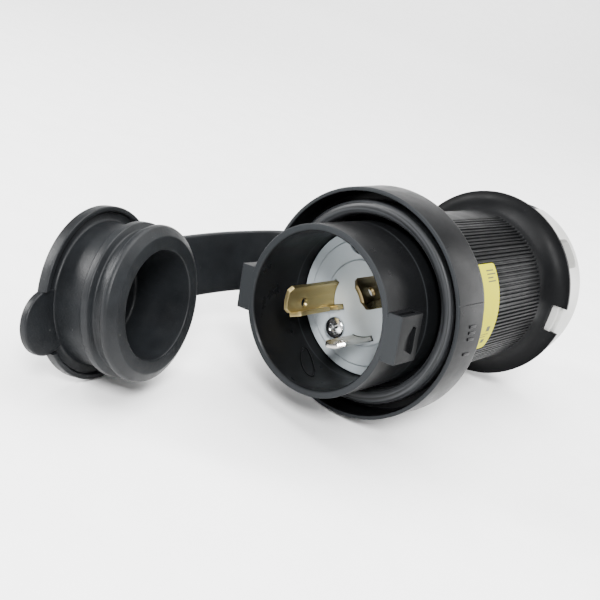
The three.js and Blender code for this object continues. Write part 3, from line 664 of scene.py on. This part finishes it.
def flare_r(y):
    """The skirt's outer radius: a quarter of an ellipse."""
    if y <= FLARE_Y:
        return RIB_R
    s = min((y - FLARE_Y) / (FLARE_END - FLARE_Y), 1.0)
    return RIB_R + 0.1 + (SKIRT_R - RIB_R - 0.1) * (1 - math.sqrt(max(1 - s * s, 0.0)))


def smoothstep(a, b, x):
    t = min(max((x - a) / (b - a), 0.0), 1.0)
    return t * t * (3 - 2 * t)


def barrel_radius(clock, y):
    into = (clock - SMOOTH_CLOCK) % 180.0 - RIBS_FROM
    if -0.01 <= into <= RIBS_SPAN + 0.01:
        wave = 0.5 + 0.5 * math.cos(2 * math.pi * (into / (RIBS_SPAN / RIBS) - 0.5))
        ridge = CORE_R + (RIB_R - CORE_R) * smoothstep(0.12, 0.6, wave)
        fade = smoothstep(FLARE_Y - 1.6, FLARE_Y - 0.2, y)
        r = ridge * (1 - fade) + RIB_R * fade
    else:
        rise = smoothstep(FLARE_Y - 3.0, FLARE_Y, y)
        r = PLAIN_R + rise * max(0.0, RIB_R - 0.02 - PLAIN_R)
    return max(r, flare_r(y)) if y > FLARE_Y - 0.4 else r


def barrel_mesh(steps=1056):
    ys = [29.3, 29.45]
    ys += list(np.linspace(30.2, FLARE_Y - 2.0, 12)) + list(np.linspace(FLARE_Y - 1.6, FLARE_Y, 7))
    ys += list(FLARE_Y + (FLARE_END - FLARE_Y) * np.sin(np.linspace(0.1, math.pi / 2, 14)))
    ys += [SKIRT_Y - 1.0, SKIRT_Y - 0.35]
    inner = [(SKIRT_R - 0.5, SKIRT_Y), (38.1, SKIRT_Y), (37.7, SKIRT_Y - 0.4), (37.7, 93.1), (24.0, 93.1),
             (24.0, 74.0), (28.2, 74.0), (28.2, 29.5), (28.4, 29.3)]
    front_bevel = 0.2
    verts = []
    for i in range(steps):
        clock = 360.0 * i / steps
        for k, y in enumerate(ys):
            r = barrel_radius(clock, y)
            if k == 0:
                r -= front_bevel
            verts.append(clock_vec(clock, r, y))
        for r, y in inner:
            verts.append(clock_vec(clock, r, y))
    return recalc(new_object("barrel_sleeve", verts, loft_faces(steps, len(ys) + len(inner))))


sleeve = barrel_mesh()
cut(sleeve, box("skirt_notch", (34.6, SKIRT_Y - 6.0, -5.8), (44, SKIRT_Y + 2, 5.8), bevel=0.5,
                matrix=clock_matrix(NOTCH_CLOCK)))
cut(sleeve, sector("label_seat", CORE_R - 0.1, 36, *LABEL_CLOCKS, LABEL_Y[0] - 0.2, LABEL_Y[1] + 0.3,
                   steps=64))
for clock in BOLT_CLOCKS:
    cut(sleeve, rod("bolt_hole", 2.0, 75, 94, matrix=clock_matrix(clock, BOLT_R), steps=24))
place(sleeve, "barrel_sleeve", "plug", M_BARREL, ["barrel"], angle=38)


def curved_label():
    """A sheet laid round the barrel, with rounded corners and a UV map for its print."""
    lo, hi = LABEL_CLOCKS[0] + 0.5, LABEL_CLOCKS[1] - 0.5
    y0, y1 = LABEL_Y
    r0, r1 = CORE_R + 0.1, RIB_R + 0.18
    arc, tall = (hi - lo) / 180 * math.pi * r1, y1 - y0
    nu, nv = 72, 12
    corner = 1.3
    verts, faces, uvs = [], [], []
    for r in (r1, r0):
        for i in range(nu + 1):
            for k in range(nv + 1):
                s, t = i / nu, k / nv
                x, y = s * arc, t * tall
                for cx, sx in ((corner, 1), (arc - corner, -1)):
                    for cy, sy in ((corner, 1), (tall - corner, -1)):
                        if (x - cx) * sx < 0 and (y - cy) * sy < 0:
                            d = math.hypot(x - cx, y - cy)
                            if d > corner:
                                x = cx + (x - cx) * corner / d
                                y = cy + (y - cy) * corner / d
                verts.append(clock_vec(lo + math.degrees(x / r1), r, y0 + y))
                uvs.append((s, t))

    def at(layer, i, k):
        return layer * (nu + 1) * (nv + 1) + i * (nv + 1) + k

    for i in range(nu):
        for k in range(nv):
            faces.append((at(0, i, k), at(0, i + 1, k), at(0, i + 1, k + 1), at(0, i, k + 1)))
            faces.append((at(1, i, k), at(1, i, k + 1), at(1, i + 1, k + 1), at(1, i + 1, k)))
    rim = [(i, 0) for i in range(nu)] + [(nu, k) for k in range(nv)]
    rim += [(i, nv) for i in range(nu, 0, -1)] + [(0, k) for k in range(nv, 0, -1)]
    for a in range(len(rim)):
        p, q = rim[a], rim[(a + 1) % len(rim)]
        faces.append((at(0, *q), at(0, *p), at(1, *p), at(1, *q)))
    obj = new_object("label_sticker", verts, faces)
    layer = obj.data.uv_layers.new(name="print")
    for loop in obj.data.loops:
        layer.data[loop.index].uv = uvs[loop.vertex_index]
    return recalc(obj, merge=False)


place(curved_label(), "label_sticker", "plug", M_LABEL, ["rating_label"], angle=40)

# ---- cord clamp ---------------------------------------------------------------------------------------
CLAMP_R, CLAMP_OUT = 37.4, 38.6
DECK_Y, CLAMP_END = 99.0, 118.0
CLAMP_MID = (DECK_Y + CLAMP_END) / 2
JAW_BACK, JAW_END = DECK_Y + 0.3, CLAMP_END - 0.6
JAW_BOLTS = (-15.5, 15.5)

base = turned_solid("clamp_shell", [
    (12, 93.4), (CLAMP_R, 93.4), (CLAMP_R, 95.5), (CLAMP_OUT, 95.5), (CLAMP_OUT, 102), (CLAMP_OUT - 0.3, 108),
    (CLAMP_OUT - 0.7, 112), (CLAMP_OUT - 1.8, 115), (CLAMP_OUT - 3.6, 117.2), (CLAMP_OUT - 5.4, CLAMP_END),
    (12, CLAMP_END),
], [0.4, 0.3, 0.2, 0.6, 2.5, 2.5, 1.8, 1.3, 1.0, 0.8, 0.8])
cut(base, box("channel", (-45, DECK_Y, -22.6), (45, CLAMP_END + 2, 22.6), matrix=clock_matrix(SMOOTH_CLOCK)))
for clock in BOLT_CLOCKS:
    well = rod("well", 5.0, DECK_Y + 2, CLAMP_END + 2, matrix=clock_matrix(clock, 29.1), steps=64)
    window = box("window", (29.1, DECK_Y - 2, -5.6), (44, DECK_Y + 9.5, 7.5), matrix=clock_matrix(clock),
                 bevel=3.4, segments=6)
    bolt_hole = rod("bolt_hole", 2.0, 90, 110, matrix=clock_matrix(clock, BOLT_R), steps=24)
    cut(base, well, window, bolt_hole)
base = soften(base, 0.5, angle=40, segments=3)
place(base, "clamp_shell", "plug", M_WHITE, ["clamp_body"], angle=36)

for i, clock in enumerate(BOLT_CLOCKS):
    pan_screw(f"body_screw_{i + 1}", "plug", f"assembly_screw_{i + 1}", (3.6, 2.4, 1.7, 18),
              clock_matrix(clock, BOLT_R, DECK_Y + 2.3))


def jaw(name, body, node, clock, sink_r, sink_sides):
    """Half of the clamp: a rounded block with a groove for the cord, and two bolt holes with sinks."""
    block = turned_solid(name, [
        (0, JAW_BACK), (CLAMP_OUT - 0.5, JAW_BACK), (CLAMP_OUT - 0.8, 108), (CLAMP_OUT - 1.2, 112),
        (CLAMP_OUT - 2.4, 114.8), (CLAMP_OUT - 4.2, 116.6), (CLAMP_OUT - 6.2, JAW_END), (0, JAW_END),
    ], [0, 0.4, 2.5, 1.8, 1.2, 0.9, 0.8, 0])
    half = box("keep", (4.6, DECK_Y, -22.3), (45, CLAMP_END + 1, 22.3), matrix=clock_matrix(clock))
    combine(block, half, "INTERSECT")
    cut(block, rod("groove", 9.5, DECK_Y - 1, CLAMP_END + 1, matrix=clock_matrix(clock, 3.1), steps=96))
    for side in JAW_BOLTS:
        hole_place = clock_matrix(clock, 20, CLAMP_MID, side) @ SIDEWAYS
        cut(block, rod("hole", 2.4, -45, 45, matrix=hole_place, steps=32))
        sink_place = clock_matrix(clock, 0, CLAMP_MID, side) @ SIDEWAYS
        cut(block, rod("sink", sink_r, 20.0, 42.0, matrix=sink_place, steps=sink_sides))
    place(soften(block, 0.4, angle=40, segments=3), name, body, M_JAW, [node], angle=36)


jaw("jaw_top", "upper_jaw", "clamp_jaw_upper", SMOOTH_CLOCK, 4.8, 48)
jaw("jaw_bottom", "lower_jaw", "clamp_jaw_lower", SMOOTH_CLOCK + 180, 4.6, 6)
for i, side in enumerate(JAW_BOLTS):
    screw_place = clock_matrix(SMOOTH_CLOCK, 20.3, CLAMP_MID, side) @ SIDEWAYS
    pan_screw(f"jaw_screw_{i + 1}", "upper_jaw", f"clamp_screw_{i + 1}", (4.2, 2.6, 2.0, 46), screw_place)
    nut_place = clock_matrix(SMOOTH_CLOCK + 180, 0, CLAMP_MID, side) @ SIDEWAYS
    nut = rod(f"jaw_nut_{i + 1}", 4.1, 20.3, 23.4, matrix=nut_place, steps=6)
    cut(nut, rod("thread", 2.35, 18, 26, matrix=nut_place, steps=32))
    nut = soften(nut, 0.25, angle=30)
    place(nut, f"jaw_nut_{i + 1}", "lower_jaw", M_STEEL, [f"clamp_nut_{i + 1}"])

cord_seal = turned_solid("cord_seal", [
    (11.0, 74.5), (23.7, 74.5), (23.7, 92.8), (9.0, 92.8), (8.6, 87.4), (8.6, 80.0),
], [0.5, 0.8, 0.8, 0.8, 2.0, 1.0], 128)
place(cord_seal, "cord_seal", "plug", M_RUBBER, ["cord_grommet"])

# ---- tether ring, strap and cap -----------------------------------------------------------------------
ring = turned_solid("strap_ring", [
    (32.2, 13.8), (35.1, 13.8), (35.1, 28.7), (32.2, 28.7),
], [0.3, 1.0, 1.0, 0.3])
place(ring, "strap_ring", "plug", M_RUBBER, ["tether_ring", "strap_root"])

# The strap's middle line: distance from the plug's axis, along the axis, and across.
STRAP_LINE = [
    (34.6, 19.1, 6.0), (39.0, 19.15, 6.0), (44.0, 18.6, 6.0), (49.2, 16.4, 5.9), (53.2, 12.6, 5.7),
    (56.0, 7.6, 5.5), (58.2, 1.6, 5.2), (59.9, -5.5, 5.0), (61.1, -13.0, 4.7), (61.9, -21.0, 4.3),
    (62.2, -29.0, 3.9), (61.9, -37.0, 3.6), (61.2, -43.0, 3.3), (60.55, -46.8, 3.2), (59.7, -49.8, 3.2),
    (58.6, -53.6, 3.2),
]
STRAP_W, STRAP_T, STRAP_EDGE = 24.0, 2.8, 0.9
STATIONS = 133


def curve_through(points, count):
    """Evenly spaced points on one smooth curve through the given ones."""
    pts = np.array(points, float)
    ext = np.vstack([2 * pts[0] - pts[1], pts, 2 * pts[-1] - pts[-2]])
    fine = []
    for i in range(len(pts) - 1):
        p0, p1, p2, p3 = ext[i], ext[i + 1], ext[i + 2], ext[i + 3]
        second = 2 * p0 - 5 * p1 + 4 * p2 - p3
        third = 3 * p1 - p0 - 3 * p2 + p3
        for t in np.linspace(0, 1, 24, endpoint=False):
            fine.append(0.5 * (2 * p1 + (p2 - p0) * t + second * t * t + third * t ** 3))
    fine.append(pts[-1])
    fine = np.array(fine)
    length = np.concatenate([[0], np.cumsum(np.linalg.norm(np.diff(fine, axis=0), axis=1))])
    at = np.linspace(0, length[-1], count)
    return np.array([[np.interp(a, length, fine[:, k]) for k in range(3)] for a in at])


def strap_section():
    """The strap's cut end: a flat band with rounded edges."""
    x, z, r = STRAP_W / 2 - STRAP_EDGE, STRAP_T / 2 - STRAP_EDGE, STRAP_EDGE
    out = []
    for cx, cz, start in ((x, z, 0), (-x, z, 90), (-x, -z, 180), (x, -z, 270)):
        for k in range(5):
            a = math.radians(start + 22.5 * k)
            out.append((cx + r * math.cos(a), cz + r * math.sin(a)))
    return out


LINE = curve_through(STRAP_LINE, STATIONS)
SECTION = strap_section()


def strap_piece(name, first, last):
    """The band between two stations of its middle line."""
    verts = []
    n = len(SECTION)
    for i in range(first, last + 1):
        a, b = LINE[max(i - 1, 0)], LINE[min(i + 1, len(LINE) - 1)]
        along = (b - a) / np.linalg.norm(b - a)
        out = np.array([-along[1], along[0], 0.0])
        out = -out / np.linalg.norm(out)
        side = np.cross(along, out)
        if side[2] < 0:
            side = -side
        for w, h in SECTION:
            rho, y, z = LINE[i] + side * w + out * h
            verts.append(tether_vec(rho, y, z))
    rows = last - first
    faces = loft_faces(rows + 1, n, closed=False)
    faces.append(tuple(range(n)))
    faces.append(tuple(rows * n + k for k in range(n - 1, -1, -1)))
    return recalc(new_object(name, verts, faces))


def index_at(y):
    """The strap's station, past its bend, that lies at this place along the plug."""
    return min(range(40, len(LINE)), key=lambda i: abs(LINE[i][1] - y))


BEND_MID = min(range(60), key=lambda i: abs(LINE[i][0] - 52.0))
RUN_MID = index_at(-14.0)
TIP_FROM = index_at(-36.0)
LAST = len(LINE) - 1


def lay_strap(name, first, last, nodes):
    """One stretch of the strap, with the CAD nodes it stands in for hidden."""
    obj = strap_piece(name, first, last)
    smooth(obj, 50)
    obj.data.materials.append(M_RUBBER)
    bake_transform(obj)
    if nodes:
        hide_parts(*nodes)


lay_strap("strap_1", 0, BEND_MID, ["strap_bend"])
lay_strap("strap_2", BEND_MID, RUN_MID, [])
lay_strap("strap_3", RUN_MID, TIP_FROM, ["strap_run"])
lay_strap("strap_4", TIP_FROM, LAST, ["strap_tip"])

# The cap's place: its open face, its axis and the side that holds the strap, from the press joint.
HOLD_R, HOLD_DEPTH = 30.9, 24.2
MOUTH = Vector(JOINTS["cap_press"]["axis"])
HOLD = tether_vec(60.8, -47.0, 0)
STRAP_SIDE = ACROSS.normalized().cross(-MOUTH).normalized()
if STRAP_SIDE.y < 0:
    STRAP_SIDE = -STRAP_SIDE
CAP = Matrix((STRAP_SIDE, -MOUTH, ACROSS)).transposed().to_4x4()
CAP.translation = HOLD - STRAP_SIDE * HOLD_R * MM + MOUTH * HOLD_DEPTH * MM
RING_R, WALL_R, LIP_R = 25.9, 24.0, 29.2
CAP_BACK = 25.8
TAB_R, TAB_CENTRE, TAB_CLOCK = 10.6, 26.3, -13

cup = turned_solid("cap_moulding", [
    (18.2, 0.0), (22.7, 0.0), (25.5, 1.8), (RING_R, 2.6), (RING_R, 4.0), (23.8, 5.0), (23.8, 8.0),
    (RING_R, 8.9), (RING_R, 11.5), (WALL_R, 12.5), (WALL_R, 23.2), (27.2, 23.4), (27.5, 21.9), (LIP_R, 21.9),
    (LIP_R, CAP_BACK), (0.0, CAP_BACK), (0.0, 22.2), (17.9, 22.2),
], [0.55, 0.35, 0.3, 0.4, 0.5, 0.5, 0.5, 0.45, 0.5, 0.5, 1.0, 0.7, 0.4, 0.45, 0.8, 0, 0, 1.2], FINE_STEPS)
tab_turn = Matrix.Rotation(math.radians(180 + TAB_CLOCK), 4, "Y")
cut(cup, box("tab_cut", (24.5, 18, -TAB_R), (33, 23.3, TAB_R), matrix=tab_turn, bevel=0.3))
tab_place = tab_turn @ Matrix.Translation((TAB_CENTRE * MM, 0, 0))
join(cup, rod("tab", TAB_R, 22.9, 25.6, matrix=tab_place, steps=128, bevel=0.7))
cup.data.transform(CAP)
place(cup, "cap_moulding", "cap", M_RUBBER, ["closure_cap"], angle=34)

# ---- pieces that stay as the CAD has them -------------------------------------------------------------
KEPT = {
    "terminal_block": M_WHITE, "ground_wire_clamp": M_BRASS, "hot_wire_clamp": M_BRASS,
    "neutral_wire_clamp": M_BRASS, "ground_terminal_screw": M_GREEN, "hot_terminal_screw": M_BRASS,
    "neutral_terminal_screw": M_NICKEL,
}
for name, material in KEPT.items():
    node = frame["nodes"][name]
    node.data.materials.clear()
    node.data.materials.append(material)

# ---- stage, lights and camera -------------------------------------------------------------------------
FLOOR_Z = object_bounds()[0].z


def sweep(flat=2.2, bend=1.4, top=4.5, half_width=7.0, steps=24):
    """The floor runs away from the camera and bends up into a backdrop. Sizes are in metres."""
    away = Vector((-0.556, 0.831, 0))
    across = Vector((0.831, 0.556, 0))
    profile = [(-7.0, 0.0), (flat, 0.0)]
    for k in range(1, steps + 1):
        a = math.pi / 2 * k / steps
        profile.append((flat + bend * math.sin(a), bend * (1 - math.cos(a))))
    profile.append((flat + bend, top))
    verts = []
    for s, z in profile:
        for w in (-half_width, half_width):
            verts.append(away * s + across * w + Vector((0, 0, FLOOR_Z + z)))
    faces = [(2 * i, 2 * i + 1, 2 * i + 3, 2 * i + 2) for i in range(len(profile) - 1)]
    return smooth(new_object("floor", verts, faces), 60)


floor = sweep()
floor.data.materials.append(
    surface("floor", (0.90, 0.90, 0.90), (0.93, 0.93, 0.93), 0.9, bump=0.0, specular=0.1))

world = bpy.data.worlds.new("studio")
bpy.context.scene.world = world
world.use_nodes = True
world.node_tree.nodes["Background"].inputs["Color"].default_value = (1.0, 1.0, 1.0, 1)
world.node_tree.nodes["Background"].inputs["Strength"].default_value = 0.55


def lamp(name, location, target, size, power):
    """A square or oblong light. Its place and size are in metres and its power in watts."""
    data = bpy.data.lights.new(name, "AREA")
    data.shape = "RECTANGLE"
    data.size, data.size_y = size
    data.energy = power
    obj = bpy.data.objects.new(name, data)
    bpy.context.scene.collection.objects.link(obj)
    obj.location = location
    obj.rotation_mode = "QUATERNION"
    obj.rotation_quaternion = (Vector(target) - Vector(location)).to_track_quat("-Z", "Y")


lamp("key", (0.42, -0.62, 0.62), (0.02, 0, 0), (0.26, 0.26), 22.0)
lamp("rim", (0.50, 0.92, 0.34), (0.02, 0.02, 0), (0.55, 0.80), 12.0)
lamp("side", (-0.75, -0.62, 0.36), (-0.03, -0.06, 0), (0.20, 0.45), 20.0)
lamp("top", (0.0, 0.15, 1.1), (0, 0.02, 0), (1.2, 1.2), 42.0)
lamp("back_wall", (-0.8, 1.3, 1.9), (-1.9, 2.9, 0.6), (1.5, 1.5), 130.0)

# The view is set in the shroud's own axes: along the axis, and across it at a fixed clock angle.
VIEW_TURN = math.radians(16.0 - LAY)
VIEW_RIGHT = (-0.7799, -0.0600, 0.6230)
VIEW_UP = (0.0, 0.9954, 0.09591)
EYE_ACROSS, EYE_UP, EYE_AHEAD = -188.1, 27.1, 240.3     # from the middle of the shroud's rim


def from_view(p, q, n):
    x = -math.cos(VIEW_TURN) * p - math.sin(VIEW_TURN) * q
    z = -math.sin(VIEW_TURN) * p + math.cos(VIEW_TURN) * q
    return Vector((x, n, z))


right = from_view(*VIEW_RIGHT).normalized()
up = from_view(*VIEW_UP).normalized()
back = right.cross(up).normalized()
up = back.cross(right)
camera = bpy.data.cameras.new("camera")
camera.lens = 54.0
camera.sensor_width = 36.0
camera.clip_start, camera.clip_end = 0.01, 20.0
eye = bpy.data.objects.new("camera", camera)
bpy.context.scene.collection.objects.link(eye)
eye.matrix_world = Matrix((right, up, back)).transposed().to_4x4()
eye.location = (from_view(EYE_ACROSS, EYE_UP, 0) + Vector((0, -EYE_AHEAD + RIM_Y, 0))) * MM
bpy.context.scene.camera = eye
